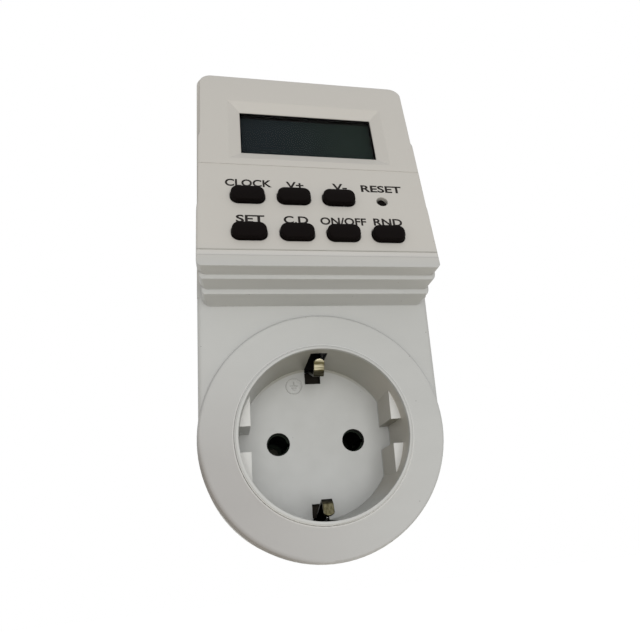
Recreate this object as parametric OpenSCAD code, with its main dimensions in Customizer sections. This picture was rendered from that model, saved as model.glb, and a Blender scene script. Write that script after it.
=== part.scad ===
// Plug-in timer switch with a Schuko socket, a display and seven keys.
// Everything is drawn lying on its back: x to the right, y up the case, z out of the wall, with z = 0 at the
// plug boss's face and the plug's centre at x = y = 0. stand_up() then turns it into the upright frame.

/* [Case] */
// Width of the head
case_w = 55.4; // [55:0.2:56]
// Width of the neck and of the back cover below the head
neck_w = 56.1; // [55.9:0.1:56.8]
// Height of the case above the socket's centre
case_top = 95.1; // [94.5:0.1:97]
// Radius of the round lower end
end_r = 28.4; // [28.4:0.1:30]
// Wall thickness of both covers
wall = 2; // [1.6:0.1:2.2]
// Depth of the back cover, from its back wall to the parting line
back_d = 12; // [11.5:0.1:12.5]
// Depth of the front cover at the neck
front_d = 10; // [9.8:0.1:10.6]
// Radius of the corners at the top of the case
top_corner_r = 3; // [2:0.25:4]
// Rounding of the back edges
back_round = 2; // [1:0.25:2.5]
// Rounding of the front edges
front_round = 1; // [0.6:0.1:1.2]

/* [Head] */
// Lean of the display face
face_tilt = 12.5; // [12:0.1:13]
// Height of the crease between the display and the keys
crease_y = 64.2; // [64:0.1:65]
// Stand-out of the face at the crease, from the socket's lip
face_rise = 5.84; // [5.6:0.02:6.2]
// Step at the crease
crease_step = 0.15; // [0.1:0.05:0.3]
// Thickness of the wall behind the face
face_wall = 2.2; // [2:0.1:2.4]
// Height of the head's lower edge
edge_y = 35.1; // [34.8:0.1:35.4]
// Width of the shallow step under the keys
strip_step = 1.3; // [1:0.1:1.6]
// Depth of the shallow step under the keys
strip_d = 0.2; // [0.1:0.05:0.3]
// Distance from the crease down to the shallow step
strip_s = 25.55; // [25.2:0.05:25.8]
// Distance from the crease up to the brow line
brow_s = 28.25; // [27.5:0.25:29]
// Drop of the brow at the top edge
brow_drop = 0.3; // [0.1:0.1:0.6]
// Height of the first tier under the face's edge
tier1_h = 3.7; // [3.4:0.1:4]
// Height of the second tier
tier2_h = 4.55; // [4.2:0.05:4.9]
// Width of the upper tread
tread1_w = 1; // [0.8:0.1:1.2]
// Width of the lower tread
tread2_w = 1.16; // [0.9:0.02:1.3]
// Slope of the tier walls
tier_draft = 8.4; // [6:0.2:9]
// Inset of a tier's sides from those of the tier above
tier_inset = 0.4; // [0:0.1:0.6]
// Radius of the tiers' corners
tier_corner_r = 2.2; // [1.2:0.1:2.6]

/* [Display] */
// Width of the face on each side of the window
window_side = 10.6; // [10.5:0.1:11.2]
// Height of the window
window_h = 14.3; // [13.5:0.1:14.5]
// Distance from the crease to the window's centre
window_s = 12.15; // [12:0.05:12.3]
// Width of the bevel round the window
bevel_w = 3; // [2.4:0.1:3.1]
// Depth of the bevel
bevel_d = 1.1; // [0.8:0.1:1.3]
// Thickness of the clear window
pane_t = 0.8; // [0.6:0.1:1]
// Width of the glass hidden on each side of the window
glass_side = 1.5; // [1.2:0.1:1.6]
// Height of the glass hidden above and below the window
glass_over = 2; // [1.8:0.1:2.1]
// Thickness of the display glass
glass_t = 2.6; // [2:0.1:2.8]

/* [Keys] */
// Length of a key
key_l = 7.7; // [7.2:0.1:8]
// Height of a key
key_h = 4.1; // [3.8:0.1:4.4]
// Distance between keys
key_pitch = 10.75; // [10.6:0.05:10.9]
// Distance from the crease down to the upper row
key_s = 10.05; // [9.8:0.05:10.2]
// Radius of a key's corners
key_corner_r = 1.7; // [1.2:0.1:1.9]
// Stand-out of a key
key_out = 1.85; // [1:0.05:2]
// Gap round a key
key_gap = 0.2; // [0.15:0.05:0.25]
// Travel of a key
key_travel = 0.8; // [0.6:0.1:0.9]
// Width of a key's flange, all round
key_flange = 0.7; // [0.5:0.05:0.75]
// Radius of the reset key
reset_r = 1.2; // [0.9:0.05:1.3]
// Depth of the reset key's top below the face
reset_sunk = 0.65; // [0.5:0.05:1.6]
// Distance of the reset key below the upper row
reset_drop = 0.25; // [0:0.05:0.6]

/* [Socket] */
// Radius of the recess at its rim
recess_r = 19.5; // [19.4:0.05:19.7]
// Radius of the recess at its floor
floor_r = 19.1; // [18.9:0.05:19.3]
// Depth of the recess
recess_d = 17.5; // [17.3:0.1:17.8]
// Wall thickness of the cup
cup_wall = 0.9; // [0.8:0.05:1.1]
// Thickness of the cup's floor
floor_t = 2; // [1.8:0.1:2.2]
// Height of the lip above the collar
lip_h = 1; // [0.6:0.1:1.2]
// Height of the collar above the neck
collar_h = 1; // [0.6:0.1:1.2]
// Distance from the case's round end in to the collar
collar_inset = 0.24; // [0.2:0.02:0.6]
// Distance between the pins' axes
pin_pitch = 19; // [18.9:0.05:19.1]
// Radius of the pin holes
pin_hole_r = 2.85; // [2.7:0.05:3]
// Distance from the centre to a guide rib's face
rib_x = 16.6; // [16.4:0.1:16.9]
// Height of the gap between the guide ribs of one side
rib_gap = 5.8; // [5.4:0.1:6.2]
// Depth of the guide ribs' tops below the lip
rib_sunk = 5; // [4.6:0.1:5.6]
// Width of the earth slots
slot_w = 4; // [3.8:0.1:4.4]
// Distance from the centre to an earth slot
slot_y = 15.05; // [14.9:0.05:15.2]
// Depth of the earth slots' tops below the lip
slot_sunk = 3.8; // [3.6:0.1:4.2]

/* [Plug] */
// Length of the plug boss
boss_l = 18; // [17.8:0.1:18.6]
// Radius of the plug boss
boss_r = 18.5; // [18.3:0.05:18.7]
// Thickness of the boss's end wall
boss_end = 3; // [2.8:0.1:3.2]
// Distance from the centre to the boss's side flats
flat_x = 16.3; // [16.1:0.1:16.4]
// Width of the tabs in the middle of the flats
tab_w = 5.2; // [4.8:0.1:5.2]
// Radius of the plug's pins
pin_r = 2.4; // [2.35:0.05:2.4]
// Length of the plug's pins
pin_l = 19; // [18.5:0.1:19.5]

/* [Metalwork] */
// Width of the earth bracket
bracket_w = 6; // [5.4:0.1:6.2]
// Thickness of the earth bracket
bracket_t = 0.8; // [0.6:0.1:0.9]
// Width of an earth clip
clip_w = 2.5; // [2.2:0.1:3]
// Thickness of an earth clip
clip_t = 0.5; // [0.4:0.05:0.6]
// Distance from the centre to an earth clip's nose
nose_y = 14.7; // [14.5:0.1:15.2]
// Inner radius of the line contacts
contact_r = 2.45; // [2.4:0.01:2.5]
// Wall of the line contacts
contact_wall = 1.15; // [0.9:0.05:1.2]
// Radius of the wires
wire_r = 0.9; // [0.7:0.05:1]

/* [Boards] */
// Thickness of both boards
board_t = 1.6; // [1.4:0.1:1.7]
// Height of the power board's posts
post_h = 3; // [2.8:0.1:3.2]
// Depth of the display board's front below the face
board_n = 8; // [7.9:0.05:8.2]
// Radius of the small screws' shanks
small_screw_r = 0.9; // [0.8:0.05:1]
// Radius of the case screws' shanks
case_screw_r = 1.3; // [1.2:0.05:1.4]

/* [Components] */
// Width of the relay
relay_w = 19; // [17:0.5:20]
// Height of the relay on the board
relay_h = 15.5; // [14:0.5:16]
// Depth of the relay
relay_d = 15; // [13:0.5:16]
// Width of the mains capacitor
film_w = 18; // [16:0.5:18.5]
// Height of the mains capacitor on the board
film_h = 7.5; // [6:0.5:8]
// Depth of the mains capacitor
film_d = 13; // [11:0.5:14]
// Radius of the smoothing capacitor
can_r = 4; // [3:0.25:4.25]
// Length of the smoothing capacitor
can_l = 12; // [9:0.5:13]
// Radius of a diode
diode_r = 1.35; // [1.2:0.05:1.5]
// Length of a diode
diode_l = 5.2; // [4.5:0.1:5.5]
// Radius of a resistor
resistor_r = 1.6; // [1.2:0.1:1.8]
// Length of a resistor
resistor_l = 8; // [6:0.5:9]
// Radius of the component leads
lead_r = 0.4; // [0.3:0.05:0.45]
// Radius of the varistor
varistor_r = 4.5; // [3.5:0.25:5]
// Thickness of the varistor
varistor_t = 3.6; // [3:0.1:4]
// Radius of the backup battery
battery_r = 6.2; // [5:0.2:6.6]
// Thickness of the backup battery
battery_t = 5; // [4:0.25:5.5]
// Thickness of the battery's tabs
tab_t = 0.3; // [0.2:0.05:0.4]
// Radius of the relay's driver
driver_r = 2.4; // [2:0.1:2.6]
// Height of the relay's driver
driver_h = 4.6; // [4:0.2:5]
// Width of the ribbon cable
ribbon_w = 6; // [5:0.5:7]
// Thickness of the ribbon cable
ribbon_t = 1.2; // [0.8:0.1:1.4]

/* [Hidden] */
$fn = 96;
beyond = 200;                              // longer than the case
over = 1;                                  // how far a cut runs past the face that it opens
fit = 0.05;                                // clearance of a screw or pin in its hole
hw = case_w / 2;
neck_hw = neck_w / 2;
collar_r = end_r - collar_inset;
window_w = case_w - 2 * window_side;
glass_w = window_w + 2 * glass_side;
glass_h = window_h + 2 * glass_over;
part_z = boss_l + back_d;                  // parting line between the covers
neck_z = part_z + front_d;
collar_z = neck_z + collar_h;
lip_z = collar_z + lip_h;
floor_z = lip_z - recess_d;
cup_z = floor_z - floor_t;                 // back of the cup's floor
face_z = lip_z + face_rise;                // face at the crease
inner_back_z = boss_l + wall;
inner_neck_z = neck_z - wall;
cup_r = recess_r + cup_wall;
cup_gap = 0.07;                            // gap between the cup's lip and the collar

// A point of the side profile at s up the face from the crease and n out of it
function face_pt(s, n) = [crease_y + s * cos(face_tilt) + n * sin(face_tilt),
                          face_z - s * sin(face_tilt) + n * cos(face_tilt)];
// Height of a line parallel to the face, at n out of it
function face_line(y, n) = face_z - (y - crease_y) * tan(face_tilt) + n / cos(face_tilt);

strip = face_pt(-strip_s, 0);
edge = [edge_y, strip[1] + (strip[0] - strip_step - edge_y) * tan(face_tilt)];
tier1 = [edge[0] - tier1_h * tan(tier_draft), edge[1] - tier1_h];
tier1b = [tier1[0] - tread1_w, tier1[1]];
tier2 = [tier1b[0] - tier2_h * tan(tier_draft), tier1b[1] - tier2_h];
tier2b = [tier2[0] - tread2_w, tier2[1]];
tier3 = [tier2b[0] - (tier2b[1] - neck_z) * tan(tier_draft), neck_z];

key_x = [for (i = [0:3]) (i - 1.5) * key_pitch];
key_row = [-key_s, -key_s - key_pitch];
reset_s = key_row[0] - reset_drop;
flange_t = 0.8;
flange_play = 0.2;                         // from a key's flange to the cover at rest
key_flange_n = -face_wall - flange_play;
dome_gap = 0.1;                            // left under a key that is pressed home
mat_t = 0.8;
dome_n = -board_n + mat_t + 1.1;
plunger_n = dome_n + dome_gap + key_travel;

case_post = [[hw - 5.5, case_top - 5.6], [5.5 - hw, case_top - 5.6], [16.9, -16.9], [-16.9, -16.9]];
post_r = 3;
screw_head_r = 2.2;
screw_head_t = 1.8;
seat_z = boss_l + 4;                       // where the case screws' heads sit
case_screw_l = 14;
boss_n = [[hw - 5.2, 19.5], [5.2 - hw, 19.5], [hw - 5.2, -15.4], [5.2 - hw, -15.4]];
board_w = case_w - 6;
board_lo = tier3[0] + 1.7;
board_hi = case_top - 9.2;
board_z = inner_back_z + post_h;
top_z = board_z + board_t;                 // front of the power board
board_post = [[hw - 6, board_hi - 2.6], [6 - hw, board_hi - 2.6], [hw - 6, board_lo + 3], [6 - hw, board_lo + 3]];
display_board_w = case_w - 5.8;
display_board_lo = -25.5;
display_board_hi = 22.8;
back_n = -board_n - board_t;               // back of the display board
bridge_z = cup_z - bracket_t;              // back of the earth bracket's bridge
leg_y = boss_r - 1;                        // inner face of the bracket's legs
leg_out_y = leg_y + bracket_t + clip_t / 2 + 0.3;  // middle of an earth clip's leg
pocket_r = contact_r + contact_wall + 0.15;
pocket_wall = 1.4;
pocket_z = 8;
contact_top = cup_z - 0.3;
pin_head_t = 1;
pin_root_r = pin_r + 0.2;
pin_rivet_r = 1.5;
plate_t = 0.5;
plate_z = boss_end + pin_head_t;           // seat of the terminal plates on the pins' heads
wire_x = pin_pitch / 2 + 1.2;
wire_y = boss_r - wall - 7.7;
rivet_y = 12;
rivet_r = 1;

module stand_up() { rotate([90, 0, 0]) children(); }

// Children drawn in the face's own axes: x across, y up the face, z out of it
module on_face() { translate([0, crease_y, face_z]) rotate([-face_tilt, 0, 0]) children(); }

// A drawing of the side, y to the right and z up, carried across x
module across(w) { translate([-w / 2, 0, 0]) rotate([90, 0, 90]) linear_extrude(w) children(); }

// Outline of a key, grown all round
module key_2d(grow) {
    half_l = key_l / 2 - key_corner_r;
    half_h = key_h / 2 - key_corner_r;
    r = key_corner_r + grow;
    square([2 * half_l, 2 * (half_h + r)], center = true);
    square([2 * (half_l + r), 2 * half_h], center = true);
    for (x = [-half_l, half_l], y = [-half_h, half_h]) translate([x, y]) circle(r = r);
}

module slab(x0, x1, y0, y1, z0, z1) { translate([x0, y0, z0]) cube([x1 - x0, y1 - y0, z1 - z0]); }

// A plate as wide as the case from y0 to y1, with round corners
module plate_2d(half, y0, y1, r0, r1) {
    translate([-half, y0 + r0]) square([2 * half, y1 - y0 - r0 - r1]);
    translate([-half + r0, y0]) square([2 * (half - r0), r0 + 0.01]);
    translate([-half + r1, y1 - r1 - 0.01]) square([2 * (half - r1), r1 + 0.01]);
    for (side = [-1, 1]) {
        translate([side * (half - r0), y0 + r0]) circle(r = r0);
        translate([side * (half - r1), y1 - r1]) circle(r = r1);
    }
}

// Outline of the body from y0 up: the neck's width below the head, tapering to the head's width at the top
module body_2d(y0) {
    top = case_top - top_corner_r;
    polygon([[-neck_hw, y0], [neck_hw, y0], [neck_hw, edge_y], [hw, top], [-hw, top], [-neck_hw, edge_y]]);
    translate([top_corner_r - hw, top - 0.01]) square([2 * (hw - top_corner_r), top_corner_r + 0.01]);
    for (side = [-1, 1]) translate([side * (hw - top_corner_r), top]) circle(r = top_corner_r);
}

// Half a section with one rounded corner: width w, from z0 to z1, with the corner at z1
module rounded_section(w, z0, z1, r) {
    up = z1 > z0 ? 1 : -1;
    translate([0, min(z0, z1 - up * r)]) square([w, abs(z1 - z0) - r]);
    translate([0, min(z1 - up * r, z1)]) square([w - r, r]);
    translate([w - r, z1 - up * r]) circle(r = r);
}

module round_end(r, z0, z1, rounding) {
    rotate_extrude() intersection() {
        rounded_section(r, z0, z1, rounding);
        translate([0, min(z0, z1)]) square([r, abs(z1 - z0)]);
    }
}

// Rounded section carried up the case from y0 to y1
module rounded_bar(y0, y1, z0, z1, r) {
    translate([0, y1, 0]) rotate([90, 0, 0]) linear_extrude(y1 - y0) {
        rounded_section(neck_hw, z0, z1, r);
        mirror([1, 0]) rounded_section(neck_hw, z0, z1, r);
    }
}

// ---- covers ----

module head_outside() {
    intersection() {
        across(case_w) polygon([
            [case_top, neck_z], [case_top, face_line(case_top, crease_step - brow_drop)],
            face_pt(brow_s, crease_step), face_pt(0, crease_step), face_pt(0, 0), strip,
            strip - [0, strip_d], strip - [strip_step, strip_d], strip - [strip_step, 0],
            edge, tier1, tier1b, tier2, tier2b, tier3]);
        on_face() translate([0, beyond / 2, crease_step]) rotate([90, 0, 0]) linear_extrude(beyond) {
            rounded_section(hw, -beyond, 0, front_round);
            mirror([1, 0]) rounded_section(hw, -beyond, 0, front_round);
        }
        union() {
            translate([0, 0, tier1[1]]) linear_extrude(beyond)
                plate_2d(hw, tier1[0], case_top, tier_corner_r, top_corner_r);
            translate([0, 0, tier2[1]]) linear_extrude(tier1[1] - tier2[1])
                plate_2d(hw - tier_inset, tier2[0], case_top, tier_corner_r, top_corner_r);
            translate([0, 0, neck_z]) linear_extrude(tier2[1] - neck_z)
                plate_2d(hw - 2 * tier_inset, tier3[0], case_top, tier_corner_r, top_corner_r);
        }
    }
}

module head_inside() {
    in = [wall, -wall];
    across(case_w - 2 * wall) polygon([
        [case_top - wall, inner_neck_z - over], [case_top - wall, face_line(case_top - wall, -face_wall)],
        [edge[0] + wall, face_line(edge[0] + wall, -face_wall)], tier1 + in, tier1b + in, tier2 + in,
        tier2b + in, tier3 + in, tier3 + in - [0, over]]);
}

// Wall that the boards, posts and bosses leave free behind the neck and the collar
module body_inside(z0, z1) {
    translate([0, 0, z0]) linear_extrude(z1 - z0) {
        circle(r = end_r - wall);
        plate_2d(hw - wall, 0, case_top - wall, 0.01, max(top_corner_r - wall, 0.5));
    }
}

module window_cut() {
    half_w = window_w / 2;
    half_h = window_h / 2;
    slope = bevel_w / (bevel_d + crease_step);
    out = crease_step + over;
    // Two wedges meet in the four-sided bevel
    translate([0, window_s, 0]) {
        intersection() {
            translate([0, half_h + 5, 0]) rotate([90, 0, 0]) linear_extrude(window_h + 10) polygon([
                [-half_w, -bevel_d], [half_w, -bevel_d],
                [half_w + slope * (bevel_d + out), out], [-half_w - slope * (bevel_d + out), out]]);
            across(window_w + 10) polygon([
                [-half_h, -bevel_d], [half_h, -bevel_d],
                [half_h + slope * (bevel_d + out), out], [-half_h - slope * (bevel_d + out), out]]);
        }
        slab(-half_w, half_w, -half_h, half_h, -face_wall - over, 0);
    }
}

module each_key() {
    for (row = [0, 1], col = [0:3]) if (row == 1 || col < 3) translate([key_x[col], key_row[row], 0]) children();
}

module front_cover() {
    color("#cfcac1") stand_up() difference() {
        union() {
            difference() {
                union() {
                    round_end(end_r, part_z, neck_z, front_round);
                    round_end(collar_r, neck_z - over, collar_z, collar_h / 2);
                    rounded_bar(0, tier3[0] + tier_corner_r, part_z, neck_z, front_round);
                    translate([0, 0, part_z]) linear_extrude(front_d) body_2d(tier3[0] + tier_corner_r);
                    head_outside();
                }
                body_inside(part_z - over, inner_neck_z);
                head_inside();
            }
            // Screw posts of the case, and bosses of the display board
            for (p = case_post) intersection() {
                translate([p[0], p[1], part_z]) cylinder(r = post_r, h = face_line(p[1], -1) - part_z);
                union() {
                    body_inside(part_z, inner_neck_z + over);
                    head_inside();
                }
            }
            on_face() for (p = boss_n) translate([p[0], p[1], -board_n])
                cylinder(r = 2.3, h = board_n - face_wall + 0.2);
        }
        translate([0, 0, part_z]) cylinder(r = cup_r + cup_gap, h = collar_z - part_z + over);
        for (p = case_post) translate([p[0], p[1], part_z - over])
            cylinder(r = case_screw_r + fit, h = seat_z + case_screw_l - part_z + over + 0.5);
        on_face() {
            window_cut();
            each_key() translate([0, 0, -face_wall - over]) linear_extrude(face_wall + 2 * over) key_2d(key_gap);
            translate([key_x[3], reset_s, -face_wall - over])
                cylinder(r = reset_r + key_gap, h = face_wall + 2 * over);
            for (p = boss_n) translate([p[0], p[1], -board_n - over]) cylinder(r = small_screw_r + fit, h = 5 + over);
        }
    }
}

module back_outside() {
    round_end(end_r, part_z, boss_l, back_round);
    intersection() {
        rounded_bar(0, case_top, part_z, boss_l, back_round);
        across(neck_w) {
            translate([0, boss_l + back_round]) square([case_top, back_d - back_round]);
            translate([0, boss_l]) square([case_top - back_round, back_round]);
            translate([case_top - back_round, boss_l + back_round]) circle(r = back_round);
        }
        translate([0, 0, boss_l]) linear_extrude(back_d) body_2d(0);
    }
}

// The boss's outline: a circle with a flat on each side and a tab in the middle of each flat
module boss_2d(r, flat, tab) {
    intersection() {
        circle(r = r);
        union() {
            square([2 * flat, 2 * r], center = true);
            square([2 * r, tab], center = true);
        }
    }
}

module back_cover() {
    color("#cfcac1") stand_up() difference() {
        union() {
            difference() {
                union() {
                    back_outside();
                    linear_extrude(inner_back_z) boss_2d(boss_r, flat_x, tab_w);
                }
                body_inside(inner_back_z, part_z + over);
                translate([0, 0, boss_end]) linear_extrude(inner_back_z - boss_end + over) intersection() {
                    circle(r = boss_r - wall);
                    square([2 * flat_x - 3, 2 * boss_r], center = true);
                }
            }
            // Case screw posts, board posts, and the two pads that carry the cup
            intersection() {
                for (p = case_post) translate([p[0], p[1], boss_l + over]) cylinder(r = post_r, h = back_d - over);
                body_inside(boss_l, part_z);
            }
            for (p = board_post) translate([p[0], p[1], boss_l + over]) cylinder(r = 2.3, h = board_z - boss_l - over);
            translate([0, 0, boss_l + over]) linear_extrude(cup_z - boss_l - over) intersection() {
                difference() {
                    circle(r = cup_r - 1.4);
                    circle(r = cup_r - 3.4);
                }
                square([2 * cup_r, 20], center = true);
            }
        }
        for (side = [-1, 1]) {
            translate([side * pin_pitch / 2, 0, -over]) cylinder(r = pin_root_r + fit, h = boss_end + 2 * over);
            // Channel of a side contact, from the boss's face through the back wall
            translate([-bracket_w / 2 - 0.1, side > 0 ? leg_y - 0.1 : -boss_r - over, 1.2])
                cube([bracket_w + 0.2, boss_r + over - leg_y + 0.1, boss_l - 1.2]);
            translate([-bracket_w / 2 - 0.1, side > 0 ? leg_y - 0.1 : -leg_y - bracket_t - 0.1, 1.2])
                cube([bracket_w + 0.2, bracket_t + 0.2, inner_back_z]);
        }
        for (p = case_post) {
            translate([p[0], p[1], boss_l - over]) cylinder(r = screw_head_r + 0.15, h = seat_z - boss_l + over);
            translate([p[0], p[1], boss_l]) cylinder(r = case_screw_r + fit, h = back_d + over);
        }
        for (p = board_post) translate([p[0], p[1], boss_l + 1.2])
            cylinder(r = small_screw_r + fit, h = board_z - boss_l);
    }
}

// ---- socket ----

module socket_insert() {
    color("#d8d9d6") stand_up() difference() {
        union() {
            difference() {
                union() {
                    translate([0, 0, cup_z]) cylinder(r = cup_r, h = lip_z - cup_wall / 2 - cup_z);
                    rotate_extrude() {
                        translate([0, lip_z - cup_wall]) square([cup_r - cup_wall / 2, cup_wall]);
                        translate([cup_r - cup_wall / 2, lip_z - cup_wall / 2]) circle(d = cup_wall);
                    }
                    translate([0, 0, inner_neck_z - 1.2]) cylinder(r = cup_r + 1.8, h = 1.2);
                }
                translate([0, 0, floor_z]) cylinder(r1 = floor_r, r2 = recess_r, h = recess_d + 0.001);
            }
            // Guide ribs, two on each side with a gap between
            difference() {
                translate([0, 0, cup_z + over]) cylinder(r = recess_r + cup_wall / 2, h = lip_z - rib_sunk - cup_z - over);
                slab(-rib_x, rib_x, -recess_d * 2, recess_d * 2, cup_z, lip_z);
                slab(-cup_r, cup_r, -rib_gap / 2, rib_gap / 2, cup_z, lip_z);
            }
            for (side = [-1, 1]) translate([side * pin_pitch / 2, 0, pocket_z])
                cylinder(r = pocket_r + pocket_wall, h = cup_z - pocket_z + over);
        }
        for (side = [-1, 1]) {
            translate([side * pin_pitch / 2, 0, pocket_z - over]) cylinder(r = pocket_r, h = cup_z - pocket_z + over);
            translate([side * pin_pitch / 2, 0, cup_z - over]) cylinder(r = pin_hole_r, h = floor_t + 2 * over);
            translate([0, side * (slot_y + cup_r) / 2 + side * 2, (cup_z + lip_z - slot_sunk) / 2 - over / 2])
                cube([slot_w, cup_r - slot_y + 4, lip_z - slot_sunk - cup_z + over], center = true);
            // Room for a rivet's head, and for the screw posts beside the flange
            translate([0, side * rivet_y, cup_z - over]) cylinder(r = 1.9, h = 0.6 + over);
            translate([side * case_post[2][0], case_post[2][1], inner_neck_z - 3]) cylinder(r = post_r + 0.3, h = 4);
        }
    }
}

// A pin of the plug: round tip, shank, thicker root in the boss's wall, head and rivet end inside it
module plug_pin(x) {
    color("#c9cbcc") stand_up() translate([x, 0, 0]) {
        translate([0, 0, pin_r - pin_l]) sphere(r = pin_r);
        translate([0, 0, pin_r - pin_l]) cylinder(r = pin_r, h = pin_l - pin_r + 0.1);
        cylinder(r = pin_root_r, h = boss_end);
        translate([0, 0, boss_end]) cylinder(r = pin_root_r + 0.8, h = pin_head_t);
        translate([0, 0, boss_end]) cylinder(r = pin_rivet_r, h = pin_head_t + plate_t + 0.2);
    }
}

module live_pin() { plug_pin(-pin_pitch / 2); }

module neutral_pin() { plug_pin(pin_pitch / 2); }

// Plate that is riveted on a pin's head, with a solder tab
module terminal_plate(x) {
    translate([x, 0, 0]) difference() {
        slab(-2.6, 2.6, -5, wire_y + 1.2, plate_z, plate_z + plate_t);
        translate([0, 0, plate_z - over]) cylinder(r = pin_rivet_r + fit, h = 3);
    }
}

module live_terminal() { color("#c9a24a") stand_up() terminal_plate(-pin_pitch / 2); }

// Split tube that grips a pin of the appliance's plug
module contact_tube(x) {
    translate([x, 0, 0]) difference() {
        union() {
            translate([0, 0, pocket_z]) cylinder(r = contact_r + contact_wall, h = contact_top - pocket_z);
            translate([0, 0, pocket_z - 0.8]) cylinder(r = pocket_r + 0.7, h = 0.8);
        }
        translate([0, 0, pocket_z - 0.8 - over]) cylinder(r = contact_r, h = contact_top);
        slab(-pocket_r, pocket_r, -0.4, 0.4, pocket_z + 2, contact_top + over);
    }
}

module live_contact() {
    color("#c9a24a") stand_up() {
        contact_tube(-pin_pitch / 2);
        // Solder tab of the switched wire
        slab(-pin_pitch / 2 + 0.8, -pin_pitch / 2 + 3.8, 4, 8, pocket_z - 0.8, pocket_z - 0.3);
    }
}

module neutral_contact() { color("#c9a24a") stand_up() contact_tube(pin_pitch / 2); }

// Plate on the neutral pin, with a riser that is welded under the neutral contact's flange
module neutral_terminal() {
    color("#c9a24a") stand_up() {
        terminal_plate(pin_pitch / 2);
        translate([pin_pitch / 2, 0, 0]) {
            slab(-2.5, 2.5, -5, plate_t - 5, plate_z, pocket_z - 0.8);
            slab(-2.5, 2.5, -5, -3, pocket_z - 0.8 - plate_t, pocket_z - 0.8);
        }
    }
}

// Bridge behind the cup's floor, and a leg down each side of the plug boss
module earth_bracket() {
    color("#c9a24a") stand_up() difference() {
        union() {
            slab(-bracket_w / 2, bracket_w / 2, -leg_y - bracket_t, leg_y + bracket_t, bridge_z, cup_z);
            for (side = [-1, 1]) translate([-bracket_w / 2, side > 0 ? leg_y : -leg_y - bracket_t, 1.6])
                cube([bracket_w, bracket_t, cup_z - 1.6]);
        }
        for (side = [-1, 1]) {
            translate([0, side * rivet_y, bridge_z - over]) cylinder(r = rivet_r + fit, h = 3);
            // Slot that the earth clip's foot passes through
            translate([-clip_w / 2 - 0.2, side > 0 ? leg_y - over : -leg_y - bracket_t - over, bridge_z - clip_t - 0.2])
                cube([clip_w + 0.4, bracket_t + 2 * over, clip_t + 0.2]);
        }
    }
}

// Spring strip drawn in y and z: foot under the bridge, leg that leans into the recess, nose, and tip that
// leans back out and ends round
module earth_clip() {
    foot_z = bridge_z - clip_t / 2;
    slot_top = lip_z - slot_sunk;
    route = [[rivet_y - 2, foot_z], [leg_out_y, foot_z], [leg_out_y, cup_z + 0.5], [nose_y, slot_top - 3.2],
             [nose_y + 1, slot_top - 1.7], [nose_y + 3.7, slot_top - 0.25]];
    tip = route[5] - route[4];
    tip_r = 0.58 * clip_w;
    difference() {
        across(clip_w) for (i = [0:len(route) - 2]) {
            step = route[i + 1] - route[i];
            translate(route[i]) {
                rotate(atan2(step[1], step[0])) translate([0, -clip_t / 2]) square([norm(step), clip_t]);
                circle(d = clip_t);
            }
        }
        translate([0, route[5][0], route[5][1]]) rotate([atan2(tip[1], tip[0]), 0, 0])
            translate([0, -tip_r - 0.2, -clip_t]) linear_extrude(2 * clip_t) difference() {
                translate([-clip_w, 0.3]) square([2 * clip_w, 2]);
                circle(r = tip_r);
            }
        translate([0, rivet_y, bridge_z - 2]) cylinder(r = rivet_r + fit, h = 3);
    }
}

module earth_clip_top() { color("#b9bab6") stand_up() earth_clip(); }

module earth_clip_bottom() { color("#b9bab6") stand_up() mirror([0, 1, 0]) earth_clip(); }

module earth_rivets() {
    color("#b9bab6") stand_up() for (side = [-1, 1]) translate([0, side * rivet_y, 0]) {
        translate([0, 0, bridge_z - clip_t - 0.5]) cylinder(r = 1.8, h = 0.5);
        translate([0, 0, bridge_z - clip_t - 0.1]) cylinder(r = rivet_r, h = bracket_t + clip_t + 0.2);
        translate([0, 0, cup_z]) cylinder(r = 1.8, h = 0.5);
    }
}

// ---- wires ----

under_z = inner_back_z + 1.3;              // wires run between the back wall and the cup's floor
solder_y = board_lo + 3.5;
wire_bend = 1.5;

// Wire at x: up from its terminal at y and z, along the back wall, and up to the power board
module wire(x, y, z) {
    translate([x, 0, 0]) {
        translate([0, y, z]) cylinder(r = wire_r, h = under_z - wire_bend - z);
        translate([0, y + wire_bend, under_z]) rotate([-90, 0, 0])
            cylinder(r = wire_r, h = solder_y - y - 2 * wire_bend);
        translate([0, solder_y, under_z + wire_bend]) cylinder(r = wire_r, h = board_z - under_z - wire_bend);
        translate([0, y + wire_bend, under_z - wire_bend]) rotate([90, 0, 90]) rotate(90) wire_elbow();
        translate([0, solder_y - wire_bend, under_z + wire_bend]) rotate([90, 0, 90]) rotate(270) wire_elbow();
    }
}

module wire_elbow() { rotate_extrude(angle = 90) translate([wire_bend, 0]) circle(r = wire_r); }

module live_wire() { color("#6b3e22") stand_up() wire(-wire_x, wire_y, plate_z + plate_t); }

module switched_wire() { color("#222222") stand_up() wire(-6.8, 7, pocket_z - 0.3); }

module neutral_wire() { color("#2f58a8") stand_up() wire(wire_x, wire_y, plate_z + plate_t); }

// ---- power board ----

module power_board() {
    color("#3f7a4a") stand_up() difference() {
        slab(-board_w / 2, board_w / 2, board_lo, board_hi, board_z, top_z);
        for (p = board_post) translate([p[0], p[1], board_z - over]) cylinder(r = small_screw_r + fit, h = board_t + 2 * over);
    }
}

// Places on the power board: rows from its lower edge, columns from its sides
row1 = board_lo + 8;
row2 = row1 + film_h + 6;                  // the varistor's upper side
row3 = row2 + 3.5 + can_r;
left_x = -board_w / 2 + 3.5;
film_x = left_x + relay_w + 3.5;
driver_x = board_w / 2 - 4.5;

module relay() {
    color("#2a5fae") stand_up() slab(left_x, left_x + relay_w, row1 + 0.5, row1 + 0.5 + relay_h, top_z, top_z + relay_d);
}

module mains_capacitor() {
    color("#b8a23c") stand_up() slab(film_x, film_x + film_w, row1, row1 + film_h, top_z, top_z + film_d);
}

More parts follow.
